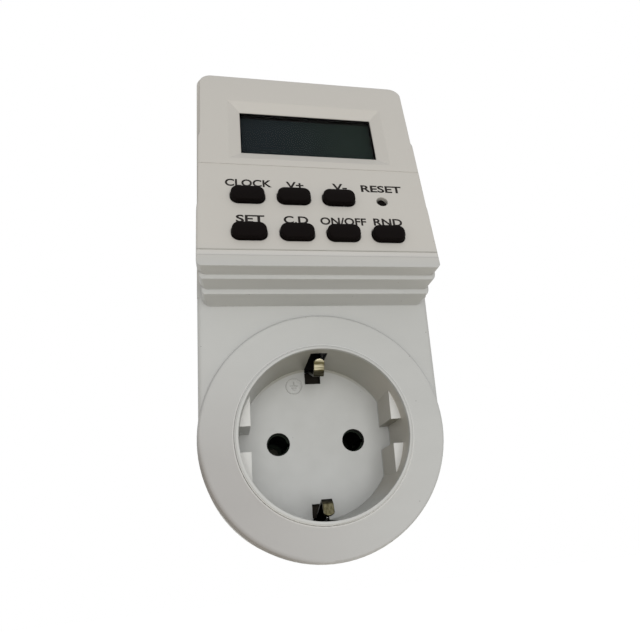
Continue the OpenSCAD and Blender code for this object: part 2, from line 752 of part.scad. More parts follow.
module smoothing_capacitor() {
    color("#26304f") stand_up() translate([film_x + 1.5, row3, top_z + can_r])
        rotate([0, 90, 0]) cylinder(r = can_r, h = can_l);
}

// Body and leads of an axial component that lies on the board
module axial(r, l, lead) {
    translate([0, 0, r]) rotate([0, 90, 0]) {
        cylinder(r = r, h = l);
        translate([0, 0, -lead]) cylinder(r = lead_r, h = l + 2 * lead);
    }
}

module rectifier_diodes() {
    color("#1f1f1f") stand_up() for (i = [0:3])
        translate([left_x + 1, row1 + relay_h + 4.5 + i * (diode_r * 2 + 1.3), top_z]) axial(diode_r, diode_l, 2);
}

module dropper_resistors() {
    color("#b98d63") stand_up() for (i = [0:1])
        translate([left_x + 1 + diode_l + 4.8, row1 + relay_h + 5.5 + i * (resistor_r * 2 + 1.8), top_z])
            axial(resistor_r, resistor_l, 1.5);
}

module surge_varistor() {
    color("#2b5f9e") stand_up() translate([film_x + film_w / 2, row2, top_z + varistor_r])
        rotate([90, 0, 0]) cylinder(r = varistor_r, h = varistor_t);
}

battery_y = board_hi - 2.8 - battery_r;
module backup_battery() {
    color("#3c8a4e") stand_up() translate([0, battery_y, top_z + tab_t]) cylinder(r = battery_r, h = battery_t);
}

module battery_tabs() {
    half = battery_r * 0.32;
    foot = battery_r + 2.8;
    top = top_z + tab_t + battery_t;
    color("#c9cbcc") stand_up() {
        slab(-foot, half, battery_y - half, battery_y + half, top_z, top_z + tab_t);
        slab(-half, foot, battery_y - half, battery_y + half, top, top + tab_t);
        slab(foot - tab_t, foot, battery_y - half, battery_y + half, top_z, top + tab_t);
    }
}

module relay_driver() {
    color("#1f1f1f") stand_up() translate([driver_x, row3 + can_r + driver_r + 1, top_z]) difference() {
        cylinder(r = driver_r, h = driver_h);
        translate([driver_r - 1.4, -driver_r * 2, -over]) cube([driver_r * 2, driver_r * 4, driver_h + 2 * over]);
    }
}

module small_screw(l) {
    translate([0, 0, -l]) cylinder(r = small_screw_r, h = l + 0.3);
    cylinder(r = 1.9, h = 1.4);
}

module board_screws() { color("#c9cbcc") stand_up() for (p = board_post) translate([p[0], p[1], top_z]) small_screw(4.4); }

// Flat cable in y and z, from the power board up to the back of the display board
module ribbon_cable() {
    end = face_pt(9, back_n);
    route = [[end[0] - 3, top_z + ribbon_t / 2], [end[0] + 3.5, top_z + 2.5], [end[0] + 3, end[1] - 2.6],
        [end[0], end[1] - ribbon_t / 2 - 0.02]];
    color("#8a8d90") stand_up() translate([driver_x - driver_r - 1.4 - ribbon_w / 2, 0, 0]) across(ribbon_w) for (i = [0:len(route) - 2]) {
        step = route[i + 1] - route[i];
        translate(route[i]) {
            rotate(atan2(step[1], step[0])) translate([0, -ribbon_t / 2]) square([norm(step), ribbon_t]);
            circle(d = ribbon_t);
        }
        translate(route[i + 1]) circle(d = ribbon_t);
    }
}

// ---- display and keys, in the face's axes ----

module display_board() {
    color("#3f7a4a") stand_up() on_face() difference() {
        slab(-display_board_w / 2, display_board_w / 2, display_board_lo, display_board_hi, back_n, -board_n);
        for (p = boss_n) translate([p[0], p[1], back_n - over]) cylinder(r = small_screw_r + fit, h = board_t + 2 * over);
    }
}

module controller_chip() {
    color("#151515") stand_up() on_face() translate([4, 4, back_n]) rotate([180, 0, 0]) intersection() {
        translate([0, 0, 1.6 - 12]) sphere(r = 12);
        slab(-8, 8, -8, 8, 0, 3);
    }
}

module clock_crystal() {
    color("#c9cbcc") stand_up() on_face() translate([-8, 12, back_n - 1]) rotate([0, 90, 0]) cylinder(r = 1, h = 6);
}

module lcd_glass() {
    color("#3b4a44") stand_up() on_face() translate([0, window_s, -face_wall - pane_t - glass_t])
        slab(-glass_w / 2, glass_w / 2, -glass_h / 2, glass_h / 2, 0, glass_t);
}

glass_back = -face_wall - pane_t - glass_t;
module lcd_frame() {
    inner = 0.2;
    rim = 1.1;
    color("#e4e2dc") stand_up() on_face() translate([0, window_s, 0]) difference() {
        slab(-glass_w / 2 - rim, glass_w / 2 + rim, -glass_h / 2 - rim, glass_h / 2 + rim, -board_n, -face_wall - pane_t);
        slab(-glass_w / 2 - inner, glass_w / 2 + inner, -glass_h / 2 - inner, glass_h / 2 + inner, glass_back - fit, 0);
        // Slots of the zebra strips, and the open middle under the glass
        for (side = [-1, 1]) slab(-glass_w / 2 + 1.4, glass_w / 2 - 1.4, side > 0 ? glass_h / 2 - 2.7 : -glass_h / 2 + 0.5,
            side > 0 ? glass_h / 2 - 0.5 : -glass_h / 2 + 2.7, -board_n - over, 0);
        slab(-glass_w / 2 + 4, glass_w / 2 - 4, -glass_h / 2 + 4, glass_h / 2 - 4, -board_n - over, 0);
    }
}

module zebra_strips() {
    color("#3a3a3c") stand_up() on_face() translate([0, window_s, 0]) for (side = [-1, 1])
        translate([0, side * (glass_h / 2 - 1.6), (glass_back - board_n) / 2])
            cube([glass_w - 3, 2, glass_back + board_n], center = true);
}

// Pane behind the cover, with a raised middle that fills the opening up to the bevel
module display_window() {
    half_w = window_w / 2 - fit;
    half_h = window_h / 2 - fit;
    color("#d7e2e2", 0.4) stand_up() on_face() translate([0, window_s, 0]) {
        slab(-glass_w / 2 - 0.8, glass_w / 2 + 0.8, -glass_h / 2 + 0.4, glass_h / 2 - 0.4, -face_wall - pane_t, -face_wall);
        slab(-half_w, half_w, -half_h, half_h, -face_wall - pane_t, -bevel_d - 0.1);
    }
}

module key_mat() {
    color("#8d9092") stand_up() on_face() {
        difference() {
            slab(-19.4, 19.4, key_row[1] - 3.6, key_row[0] + 3.6, -board_n, -board_n + mat_t);
            for (p = boss_n) if (p[1] < 0) translate([p[0], p[1], -board_n - over]) cylinder(r = 2.6, h = 3);
        }
        each_key() dome();
        translate([key_x[3], reset_s, 0]) dome();
    }
}

module dome() { translate([0, 0, -board_n + mat_t - 0.1]) cylinder(r1 = 2.6, r2 = 1.6, h = dome_n + board_n - mat_t + 0.1); }

module key_cap(col, row) {
    color("#17130f") stand_up() on_face() translate([key_x[col], key_row[row], 0]) {
        translate([0, 0, key_flange_n - 0.1]) linear_extrude(key_out - key_flange_n + 0.1) key_2d(0);
        translate([0, 0, key_flange_n - flange_t]) linear_extrude(flange_t) key_2d(key_flange);
        translate([0, 0, plunger_n]) cylinder(r = 1.5, h = key_flange_n - flange_t - plunger_n + 0.1);
    }
}

module clock_key() { key_cap(0, 0); }

module up_key() { key_cap(1, 0); }

module down_key() { key_cap(2, 0); }

module set_key() { key_cap(0, 1); }

module countdown_key() { key_cap(1, 1); }

module on_off_key() { key_cap(2, 1); }

module random_key() { key_cap(3, 1); }

module reset_key() {
    color("#17130f") stand_up() on_face() translate([key_x[3], reset_s, 0]) {
        translate([0, 0, key_flange_n - 0.1]) cylinder(r = reset_r, h = -reset_sunk - key_flange_n + 0.1);
        translate([0, 0, key_flange_n - flange_t]) cylinder(r = reset_r + 1.4, h = flange_t);
        translate([0, 0, plunger_n]) cylinder(r = 1.2, h = key_flange_n - flange_t - plunger_n + 0.1);
    }
}

module display_screws() {
    color("#c9cbcc") stand_up() on_face() for (p = boss_n) translate([p[0], p[1], back_n])
        rotate([180, 0, 0]) small_screw(5.8);
}

module case_screws() {
    color("#c9cbcc") stand_up() for (p = case_post) translate([p[0], p[1], seat_z - screw_head_t]) {
        difference() {
            cylinder(r = screw_head_r, h = screw_head_t);
            for (a = [0, 90]) rotate(a) slab(-1.3, 1.3, -0.25, 0.25, -over, 0.9);
        }
        translate([0, 0, screw_head_t - 0.1]) cylinder(r = case_screw_r, h = case_screw_l);
    }
}

front_cover();
back_cover();
socket_insert();
live_pin();
neutral_pin();
live_terminal();
live_contact();
neutral_contact();
neutral_terminal();
earth_bracket();
earth_clip_top();
earth_clip_bottom();
earth_rivets();
live_wire();
switched_wire();
neutral_wire();
power_board();
relay();
mains_capacitor();
smoothing_capacitor();
rectifier_diodes();
dropper_resistors();
surge_varistor();
backup_battery();
battery_tabs();
relay_driver();
board_screws();
ribbon_cable();
display_board();
controller_chip();
clock_crystal();
lcd_glass();
lcd_frame();
zebra_strips();
display_window();
key_mat();
clock_key();
up_key();
down_key();
set_key();
countdown_key();
on_off_key();
random_key();
reset_key();
display_screws();
case_screws();
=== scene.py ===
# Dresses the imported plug-in timer switch and sets up its camera, floor and light.
# Metres throughout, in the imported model's frame: +X right, +Z up the case, display and socket facing -Y.
import math
import bmesh
import bpy
import numpy as np
from mathutils import Euler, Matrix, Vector


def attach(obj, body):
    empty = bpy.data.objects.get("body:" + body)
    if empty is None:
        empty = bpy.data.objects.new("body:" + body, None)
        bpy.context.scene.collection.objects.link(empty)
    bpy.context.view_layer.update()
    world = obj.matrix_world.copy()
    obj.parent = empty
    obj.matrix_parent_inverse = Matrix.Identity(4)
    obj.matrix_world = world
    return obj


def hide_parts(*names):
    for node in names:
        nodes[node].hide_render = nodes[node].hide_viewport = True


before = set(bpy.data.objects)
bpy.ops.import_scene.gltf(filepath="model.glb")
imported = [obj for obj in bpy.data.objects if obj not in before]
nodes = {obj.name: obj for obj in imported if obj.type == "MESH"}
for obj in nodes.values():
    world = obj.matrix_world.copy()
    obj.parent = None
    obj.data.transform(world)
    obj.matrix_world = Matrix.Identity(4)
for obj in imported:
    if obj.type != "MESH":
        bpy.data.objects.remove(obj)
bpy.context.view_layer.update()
mm = 0.001
print("frame loaded:", len(nodes), "nodes")

# The leaning face, in mm: its lean in degrees, and where the crease between display and keys stands
face = {"lean": 12.5, "creaseUp": 64.2, "creaseOut": 47.84}


# Points of the face, given across, up from the crease and out of it: the lean turns up and out about the
# crease, then out becomes -Y
def onFace(across, up, out):
    lean = math.radians(face["lean"])
    height = face["creaseUp"] + up * math.cos(lean) + out * math.sin(lean)
    depth = face["creaseOut"] - up * math.sin(lean) + out * math.cos(lean)
    return np.stack([across, -depth, height], axis=-1) * mm


# One sRGB hex value as linear colour: a channel up to 0.04045 is divided by 12.92, above it the channel plus
# 0.055, over 1.055, takes the power 2.4
def linear(hexColour):
    parts = [int(hexColour[i:i + 2], 16) / 255 for i in (1, 3, 5)]
    return tuple(c / 12.92 if c <= 0.04045 else ((c + 0.055) / 1.055) ** 2.4 for c in parts) + (1.0,)


# Adds a node: a setting goes to the socket of that name or number, else to the node itself, and each link
# names a socket and the output that feeds it
def addNode(tree, kind, settings=None, links=None):
    node = tree.nodes.new(kind)
    for name, value in (settings or {}).items():
        if isinstance(name, int) or name in node.inputs:
            node.inputs[name].default_value = value
        else:
            setattr(node, name, value)
    for name, output in (links or {}).items():
        tree.links.new(output, node.inputs[name])
    return node


def newMaterial(name):
    material = bpy.data.materials.new(name)
    material.use_nodes = True
    material.node_tree.nodes.clear()
    return material, material.node_tree


# Object coordinates over a size in mm, so that a pattern of scale 1 repeats about once in that size
def placeOver(tree, size, stretch=(1, 1, 1)):
    place = addNode(tree, "ShaderNodeTexCoord").outputs["Object"]
    scale = tuple(1 / (size * part * mm) for part in stretch)
    return addNode(tree, "ShaderNodeMapping", {"Scale": scale}, {"Vector": place}).outputs[0]


# How far a point lies from one value to another in mm, from 0 to the most and eased at both ends: along x, y
# or z, along the size of x or z where the name ends in Size, or along r, the distance from the socket's axis
def alongAxis(tree, axis, start, end, most=1):
    place = addNode(tree, "ShaderNodeTexCoord").outputs["Object"]
    if axis == "r":
        flat = addNode(tree, "ShaderNodeVectorMath", {"operation": "MULTIPLY", 1: (1, 0, 1)}, {0: place})
        value = addNode(tree, "ShaderNodeVectorMath", {"operation": "LENGTH"},
                        {0: flat.outputs[0]}).outputs["Value"]
    else:
        value = addNode(tree, "ShaderNodeSeparateXYZ", {}, {0: place}).outputs["xyz".index(axis[0])]
        if axis.endswith("Size"):
            value = addNode(tree, "ShaderNodeMath", {"operation": "ABSOLUTE"}, {0: value}).outputs[0]
    return addNode(tree, "ShaderNodeMapRange",
                   {"interpolation_type": "SMOOTHSTEP", "From Min": start * mm, "From Max": end * mm,
                    "To Max": most}, {"Value": value}).outputs[0]


# A patch's share of a surface: the product of its steps, each an axis with a start and an end in mm
def patchShare(tree, most, steps):
    share = alongAxis(tree, *steps[0], most=most)
    for step in steps[1:]:
        share = addNode(tree, "ShaderNodeMath", {"operation": "MULTIPLY"},
                        {0: share, 1: alongAxis(tree, *step)}).outputs[0]
    return share


edgeSamples = 6  # how finely the shader rounds an edge

# What a moulding has unless its own look says otherwise, in mm: clouds of its two shades and their stretch,
# grain and its height, how far the roughness strays to either side, and burnt specks. Patches are a colour,
# its most and its steps; painted shade is steps alone.
plainMoulding = {
    "flow": (1, 1, 1), "cloudDetail": 3.0, "cloudFade": 0.55, "grainDetail": 2.0, "grainHigh": 0.02,
    "specular": 0.5, "glossier": 0.04, "duller": 0.05,
    "speck": 0, "speckColour": "#4a4238", "speckMost": 0.8, "speckCore": 0.6,
    "patches": [], "paintedShade": [], "paintedShadeColour": "#100e0b",
}


# Injection moulded plastic: two close shades in soft clouds, rare burnt specks, a spark-eroded grain, and
# edges that the shader rounds a little, as a mould's edges are. Painted shade is black and takes the gloss
# away.
def mouldedPlastic(name, changes):
    look = {**plainMoulding, **changes}
    material, tree = newMaterial(name)
    clouds = addNode(tree, "ShaderNodeTexNoise",
                     {"Scale": 1.0, "Detail": look["cloudDetail"], "Roughness": look["cloudFade"]},
                     {"Vector": placeOver(tree, look["cloud"], look["flow"])}).outputs["Fac"]
    colour = addNode(tree, "ShaderNodeMix",
                     {"data_type": "RGBA", 6: linear(look["colour"]), 7: linear(look["tint"])},
                     {0: clouds}).outputs[2]
    for patchColour, most, steps in look["patches"]:
        colour = addNode(tree, "ShaderNodeMix", {"data_type": "RGBA", 7: linear(patchColour)},
                         {0: patchShare(tree, most, steps), 6: colour}).outputs[2]
    if look["speck"]:
        dots = addNode(tree, "ShaderNodeTexVoronoi", {"Scale": 1.0},
                       {"Vector": placeOver(tree, look["speckEvery"])})
        reach = look["speck"] / look["speckEvery"]
        near = addNode(tree, "ShaderNodeMapRange",
                       {"From Min": look["speckCore"] * reach, "From Max": reach,
                        "To Min": look["speckMost"], "To Max": 0.0}, {"Value": dots.outputs["Distance"]})
        colour = addNode(tree, "ShaderNodeMix", {"data_type": "RGBA", 7: linear(look["speckColour"])},
                         {0: near.outputs[0], 6: colour}).outputs[2]
    edge = addNode(tree, "ShaderNodeBevel", {"samples": edgeSamples, "Radius": look["edge"] * mm})
    grain = addNode(tree, "ShaderNodeTexNoise", {"Scale": 1.0, "Detail": look["grainDetail"]},
                    {"Vector": placeOver(tree, look["grain"])})
    bump = addNode(tree, "ShaderNodeBump",
                   {"Strength": look["grainDepth"], "Distance": look["grainHigh"] * mm},
                   {"Height": grain.outputs["Fac"], "Normal": edge.outputs[0]})
    rough = addNode(tree, "ShaderNodeMapRange", {"To Min": look["roughness"] - look["glossier"],
                                                 "To Max": look["roughness"] + look["duller"]},
                    {"Value": clouds}).outputs[0]
    # painted shade: black, and matt where it falls
    for steps in look["paintedShade"]:
        share = patchShare(tree, 1, steps)
        colour = addNode(tree, "ShaderNodeMix", {"data_type": "RGBA", 7: linear(look["paintedShadeColour"])},
                         {0: share, 6: colour}).outputs[2]
        rough = addNode(tree, "ShaderNodeMath", {"operation": "MAXIMUM"}, {0: rough, 1: share}).outputs[0]
    shell = addNode(tree, "ShaderNodeBsdfPrincipled",
                    {"IOR": look["ior"], "Specular IOR Level": look["specular"]},
                    {"Base Color": colour, "Roughness": rough, "Normal": bump.outputs[0]})
    addNode(tree, "ShaderNodeOutputMaterial", {}, {"Surface": shell.outputs[0]})
    return material


# What a metal has unless its own look says otherwise, in mm: the axis its streaks run along, their stretch,
# relief and height, the part of their pattern that turns the shade, and how far the roughness strays
plainMetal = {
    "along": 1, "streak": 1, "streakDetail": 3.0, "between": (0, 1), "bump": 0.06, "high": 0.02,
    "edge": 0.12, "glossier": 0.05, "duller": 0.07,
}


# Drawn or rolled metal: two close shades in streaks along one axis, which also vary the roughness. Painted
# shade, if given, darkens it below a depth from the front.
def drawnMetal(name, changes):
    look = {**plainMetal, **changes}
    material, tree = newMaterial(name)
    stretch = [1, 1, 1]
    stretch[look["along"]] = look["streak"]
    streaks = addNode(tree, "ShaderNodeTexNoise", {"Scale": 1.0, "Detail": look["streakDetail"]},
                      {"Vector": placeOver(tree, look["grain"], stretch)}).outputs["Fac"]
    low, high = look["between"]
    share = addNode(tree, "ShaderNodeMapRange", {"From Min": low, "From Max": high}, {"Value": streaks})
    colour = addNode(tree, "ShaderNodeMix",
                     {"data_type": "RGBA", 6: linear(look["colour"]), 7: linear(look["tint"])},
                     {0: share.outputs[0]}).outputs[2]
    if "deepShade" in look:
        colour = addNode(tree, "ShaderNodeMix", {"data_type": "RGBA", 7: linear(look["deepShade"])},
                         {0: alongAxis(tree, "y", *look["deepShadeFrom"]), 6: colour}).outputs[2]
    rough = addNode(tree, "ShaderNodeMapRange", {"To Min": look["roughness"] - look["glossier"],
                                                 "To Max": look["roughness"] + look["duller"]},
                    {"Value": streaks})
    edge = addNode(tree, "ShaderNodeBevel", {"samples": edgeSamples, "Radius": look["edge"] * mm})
    bump = addNode(tree, "ShaderNodeBump", {"Strength": look["bump"], "Distance": look["high"] * mm},
                   {"Height": streaks, "Normal": edge.outputs[0]})
    metal = addNode(tree, "ShaderNodeBsdfPrincipled", {"Metallic": 1.0},
                    {"Base Color": colour, "Roughness": rough.outputs[0], "Normal": bump.outputs[0]})
    addNode(tree, "ShaderNodeOutputMaterial", {}, {"Surface": metal.outputs[0]})
    return material


# Case: white ABS as moulded, satin, with a few burnt specks, patches of painted light and shade, and painted
# shade where its inside shows behind the earth slots
whiteAbs = mouldedPlastic("mouldedWhiteAbs", {
    "colour": "#babbb9", "tint": "#b3b4b2", "cloud": 14, "flow": (2.5, 1, 0.6), "roughness": 0.48,
    "grain": 0.3, "grainDepth": 0.12, "edge": 0.4, "ior": 1.54, "speck": 0.13, "speckEvery": 4.2,
    "patches": [
        # warmer, paler head: painted warm light
        ("#c5c1ba", 0.8, [("z", 33, 42), ("y", -14, -44)]),
        # painted light on the strip under the keys, and a painted shade line above it at the step
        ("#cdcdd0", 0.15, [("z", 37.92, 38.0), ("z", 39.33, 39.25), ("y", -50, -51)]),
        ("#8f9086", 0.4, [("z", 39.17, 39.25), ("z", 39.53, 39.45), ("y", -50, -51)]),
        # painted shade: grey at the socket's lower left, and brown along the edge there
        ("#a2a09e", 1.0, [("z", 24, -14), ("x", 34, -26), ("y", -30, -38)]),
        ("#5f564b", 0.6, [("r", 26.9, 28.1), ("x", 0, -13), ("z", 2, -8), ("y", -30, -38)]),
        # painted light round the socket's hole, paling the shade of the gap
        ("#d6d6d4", 0.5, [("r", 20.95, 20.6), ("r", 20.2, 20.3), ("y", -40.3, -40.6)]),
    ],
    "paintedShade": [
        # painted shade where the case's inside shows behind the earth slots
        [("xSize", 3.4, 3.2), ("zSize", 19, 19.3), ("zSize", 27, 26.7), ("y", -38.4, -38.3),
         ("y", -19.3, -19.4)],
    ]})
# Socket: moulded urea, harder and smoother than the case, with painted light on its lip, painted shade on its
# walls, behind its floor and in its earth slots, and paler ends on its ribs
whiteUrea = mouldedPlastic("mouldedUrea", {
    "colour": "#bcbdbb", "tint": "#b0b1ae", "cloud": 6, "roughness": 0.4, "grain": 0.5, "grainDepth": 0.08,
    "edge": 0.2, "ior": 1.55, "speck": 0.1, "speckEvery": 5.3,
    "patches": [
        # painted light on the outer side of the lip, against the shade of the gap
        ("#f4f4f2", 1.0, [("r", 20.25, 20.35), ("y", -40.4, -40.9)]),
        # painted shade: olive on the upper wall, warm on the right wall, and dark under the upper right rib
        ("#85816d", 0.55, [("z", 10, 18), ("r", 18.3, 18.6), ("r", 19.6, 19.5), ("y", -41.3, -40.8)]),
        ("#a39270", 0.3, [("x", 10, 16), ("r", 19.6, 19.5), ("y", -24.8, -25.6), ("y", -41.3, -40.8)]),
        ("#5f5a45", 0.6, [("x", 10, 12), ("z", 2.8, 2.85), ("z", 3.1, 3.0), ("r", 19.2, 19.1),
                          ("y", -24.8, -25.6)]),
        # paler front ends of the ribs
        ("#cdcdca", 1.0, [("y", -36.9, -36.97), ("y", -37.1, -37.03), ("r", 19.3, 19.2)]),
    ],
    "paintedShade": [
        # painted shade behind the floor, dark in the pin holes
        [("y", -24.45, -24.1)],
        # painted shade in the earth slots
        [("xSize", 2.06, 2.02), ("zSize", 16.8, 17.0), ("y", -38.4, -38.3)],
    ]})
# Keys: black ABS with a dull eroded skin that hardly mirrors anything
blackAbs = mouldedPlastic("mouldedBlackAbs", {
    "colour": "#080504", "tint": "#0b0606", "cloud": 3, "roughness": 0.72, "grain": 0.22, "grainDepth": 0.2,
    "edge": 0.15, "ior": 1.5, "specular": 0.06})
# Mat under the keys: grey silicone, dull
silicone = mouldedPlastic("mouldedSilicone", {
    "colour": "#8f9395", "tint": "#85898b", "cloud": 4, "roughness": 0.7, "grain": 0.3, "grainDepth": 0.15,
    "edge": 0.2, "ior": 1.43})
# Chips and diodes: black epoxy with a fine sandy skin
blackEpoxy = mouldedPlastic("mouldedEpoxy", {
    "colour": "#1a1a1b", "tint": "#222223", "cloud": 1.5, "roughness": 0.35, "grain": 0.2, "grainDepth": 0.15,
    "edge": 0.12, "ior": 1.55})
# Pins: nickel-plated brass, a warm white metal with faint streaks along the pin, with painted shade inside
# the case
pinNickel = drawnMetal("nickelPlatedBrass", {
    "colour": "#c4bfb2", "tint": "#b2ad9e", "deepShade": "#1b1b17", "deepShadeFrom": (-0.5, -2),
    "roughness": 0.24, "grain": 0.3, "streak": 8})
# Earth clips: the same plating, painted highlight and shade in bands on the upper tip, painted shade in the
# slots
highlitClipNickel = drawnMetal("nickelPaintedHighlights", {
    "colour": "#aaa58f", "tint": "#4a452f", "between": (0.36, 0.62), "deepShade": "#1c1912",
    "deepShadeFrom": (-36.2, -34.6), "roughness": 0.3, "grain": 0.45, "streak": 9, "along": 0, "edge": 0.35,
    "bump": 0.1})
# The lower clip: a darker copy of the same plating, as painted shade
shadedClipNickel = drawnMetal("nickelPaintedShade", {
    "colour": "#77725a", "tint": "#4b4732", "between": (0.35, 0.65), "deepShade": "#171410",
    "deepShadeFrom": (-37.2, -35.2), "roughness": 0.34, "grain": 0.7, "streak": 6, "along": 2, "edge": 0.35,
    "bump": 0.08})
# Earth bracket: steel coloured near black as painted shade, so the slots look dark
slotShadeSteel = drawnMetal("steelPaintedSlotShade", {
    "colour": "#1d1b18", "tint": "#25221e", "roughness": 0.5, "grain": 0.5, "streak": 4, "along": 2})
# Line contacts and terminals: brass with a green-brown tarnish, darkened near black as painted shade behind
# the pin holes
tarnishShadeBrass = drawnMetal("brassTarnishAndShade", {
    "colour": "#20251f", "tint": "#121612", "roughness": 0.46, "grain": 0.5, "streak": 6})
# Screws and tabs: zinc-plated steel, dull grey with a blue cast
zincSteel = drawnMetal("zincPlatedSteel", {
    "colour": "#b9bdc0", "tint": "#9da2a6", "roughness": 0.34, "grain": 0.5})
print("plastics and metals made")


# Circuit board under solder mask: waved bands broken up by cells stand for the copper below the varnish
def solderMask(name, look):
    material, tree = newMaterial(name)
    cells = addNode(tree, "ShaderNodeTexVoronoi", {"Scale": 1.0, "distance": "MANHATTAN", "feature": "F2"},
                    {"Vector": placeOver(tree, look["pitch"])})
    bands = addNode(tree, "ShaderNodeTexWave",
                    {"Scale": look["bandScale"], "Distortion": look["bandBends"], "Detail": 0.0},
                    {"Vector": placeOver(tree, look["pitch"])})
    copper = addNode(tree, "ShaderNodeMath", {"operation": "GREATER_THAN", 1: look["copperFrom"]},
                     {0: bands.outputs["Fac"]})
    tracks = addNode(tree, "ShaderNodeMath", {"operation": "MULTIPLY"},
                     {0: copper.outputs[0], 1: cells.outputs["Distance"]}).outputs[0]
    shade = addNode(tree, "ShaderNodeMix",
                    {"data_type": "RGBA", 6: linear(look["mask"]), 7: linear(look["track"])}, {0: tracks})
    bump = addNode(tree, "ShaderNodeBump", {"Strength": look["bump"], "Distance": look["high"] * mm},
                   {"Height": tracks})
    board = addNode(tree, "ShaderNodeBsdfPrincipled", {"Roughness": look["roughness"], "IOR": look["ior"]},
                    {"Base Color": shade.outputs[2], "Normal": bump.outputs[0]})
    addNode(tree, "ShaderNodeOutputMaterial", {}, {"Surface": board.outputs[0]})
    return material


# What a lacquer has unless its own look says otherwise: its clouds and its skin's height in mm, and its gloss
plainLacquer = {"cloud": 2, "detail": 2.0, "bump": 0.12, "high": 0.03, "ior": 1.5, "specular": 0.5}


# Dipped lacquer, PVC sleeve or printed ink: two shades in clouds, with a faint orange-peel skin
def lacquer(name, changes):
    look = {**plainLacquer, **changes}
    material, tree = newMaterial(name)
    clouds = addNode(tree, "ShaderNodeTexNoise", {"Scale": 1.0, "Detail": look["detail"]},
                     {"Vector": placeOver(tree, look["cloud"])}).outputs["Fac"]
    shade = addNode(tree, "ShaderNodeMix",
                    {"data_type": "RGBA", 6: linear(look["colour"]), 7: linear(look["tint"])}, {0: clouds})
    bump = addNode(tree, "ShaderNodeBump", {"Strength": look["bump"], "Distance": look["high"] * mm},
                   {"Height": clouds})
    skin = addNode(tree, "ShaderNodeBsdfPrincipled",
                   {"Roughness": look["roughness"], "IOR": look["ior"],
                    "Specular IOR Level": look["specular"]},
                   {"Base Color": shade.outputs[2], "Normal": bump.outputs[0]})
    addNode(tree, "ShaderNodeOutputMaterial", {}, {"Surface": skin.outputs[0]})
    return material


# Liquid crystal cell under its polariser: near black, blue-grey at the left and greener at the right
def displayCell(name, look):
    material, tree = newMaterial(name)
    shade = addNode(tree, "ShaderNodeMix",
                    {"data_type": "RGBA", 6: linear(look["left"]), 7: linear(look["right"])},
                    {0: alongAxis(tree, "x", *look["turnsBetween"])})
    haze = addNode(tree, "ShaderNodeTexNoise", {"Scale": 1.0, "Detail": look["detail"]},
                   {"Vector": placeOver(tree, look["haze"])})
    low, high = look["roughness"]
    rough = addNode(tree, "ShaderNodeMapRange", {"To Min": low, "To Max": high},
                    {"Value": haze.outputs["Fac"]})
    cell = addNode(tree, "ShaderNodeBsdfPrincipled",
                   {"IOR": look["ior"], "Specular IOR Level": look["specular"]},
                   {"Base Color": shade.outputs[2], "Roughness": rough.outputs[0]})
    addNode(tree, "ShaderNodeOutputMaterial", {}, {"Surface": cell.outputs[0]})
    return material


# Clear acrylic window: it passes light straight through, with a haze that varies its gloss
def clearPane(name, look):
    material, tree = newMaterial(name)
    haze = addNode(tree, "ShaderNodeTexNoise", {"Scale": 1.0, "Detail": look["detail"]},
                   {"Vector": placeOver(tree, look["haze"])})
    low, high = look["roughness"]
    rough = addNode(tree, "ShaderNodeMapRange", {"To Min": low, "To Max": high},
                    {"Value": haze.outputs["Fac"]})
    pane = addNode(tree, "ShaderNodeBsdfPrincipled",
                   {"Base Color": linear(look["colour"]), "Transmission Weight": 1.0, "IOR": look["ior"],
                    "Specular IOR Level": look["specular"]}, {"Roughness": rough.outputs[0]})
    addNode(tree, "ShaderNodeOutputMaterial", {}, {"Surface": pane.outputs[0]})
    return material


# Boards: fibreglass under green varnish, satin, with the copper showing paler through it
boardGreen = solderMask("fibreglassBoard", {
    "mask": "#1f5a33", "track": "#3f8a52", "pitch": 2.4, "bandScale": 0.6, "bandBends": 6.0,
    "copperFrom": 0.62, "bump": 0.3, "high": 0.04, "roughness": 0.3, "ior": 1.5})
# Relay: its moulded PBT case, satin; film capacitor: its box filled with epoxy; can: a shrunk glossy sleeve
relayBlue = lacquer("relayCasePbt", {"colour": "#2356a8", "tint": "#2b60b4", "roughness": 0.35})
filmYellow = lacquer("filmCapacitorBox", {"colour": "#c9a52c", "tint": "#bf9a24", "roughness": 0.4})
canSleeve = lacquer("capacitorSleevePvc", {"colour": "#1f2a4a", "tint": "#26345a", "roughness": 0.25})
# Resistors and varistor: dipped in lacquer and in epoxy, rounded and glossy; battery: a shrunk green sleeve
resistorTan = lacquer("resistorLacquer", {"colour": "#c49a6a", "tint": "#b4854f", "roughness": 0.35})
varistorBlue = lacquer("varistorEpoxy", {"colour": "#2a6cb0", "tint": "#235f9f", "roughness": 0.4})
batteryGreen = lacquer("batterySleevePvc", {"colour": "#2f8a48", "tint": "#36954f", "roughness": 0.3})
# Wires and ribbon: extruded PVC, satin
liveBrown = lacquer("wireSheathBrown", {"colour": "#6b3a1e", "tint": "#5f3319", "roughness": 0.45})
switchedBlack = lacquer("wireSheathBlack", {"colour": "#1c1c1d", "tint": "#242425", "roughness": 0.45})
neutralBlue = lacquer("wireSheathBlue", {"colour": "#2450a0", "tint": "#2a58aa", "roughness": 0.45})
cableGrey = lacquer("ribbonSheathGrey", {"colour": "#8a8d90", "tint": "#94979a", "roughness": 0.5})
# Display's frame: moulded white ABS, satin; zebra strips: conductive rubber, dull and black
frameWhite = lacquer("displayFrameAbs", {"colour": "#dedcd4", "tint": "#d6d3ca", "roughness": 0.5})
zebraBlack = lacquer("conductiveRubber", {
    "colour": "#2a2a2c", "tint": "#202022", "roughness": 0.7, "cloud": 0.4})
# Key legends and the window's border: matt screen-printed ink, a little uneven in its black
printInk = lacquer("screenPrintInk", {
    "colour": "#15110f", "tint": "#221d1a", "roughness": 0.65, "cloud": 0.4, "specular": 0.2})
borderInk = lacquer("windowBorderInk", {
    "colour": "#0d0a0a", "tint": "#130f0f", "roughness": 0.7, "cloud": 0.8, "specular": 0.05})
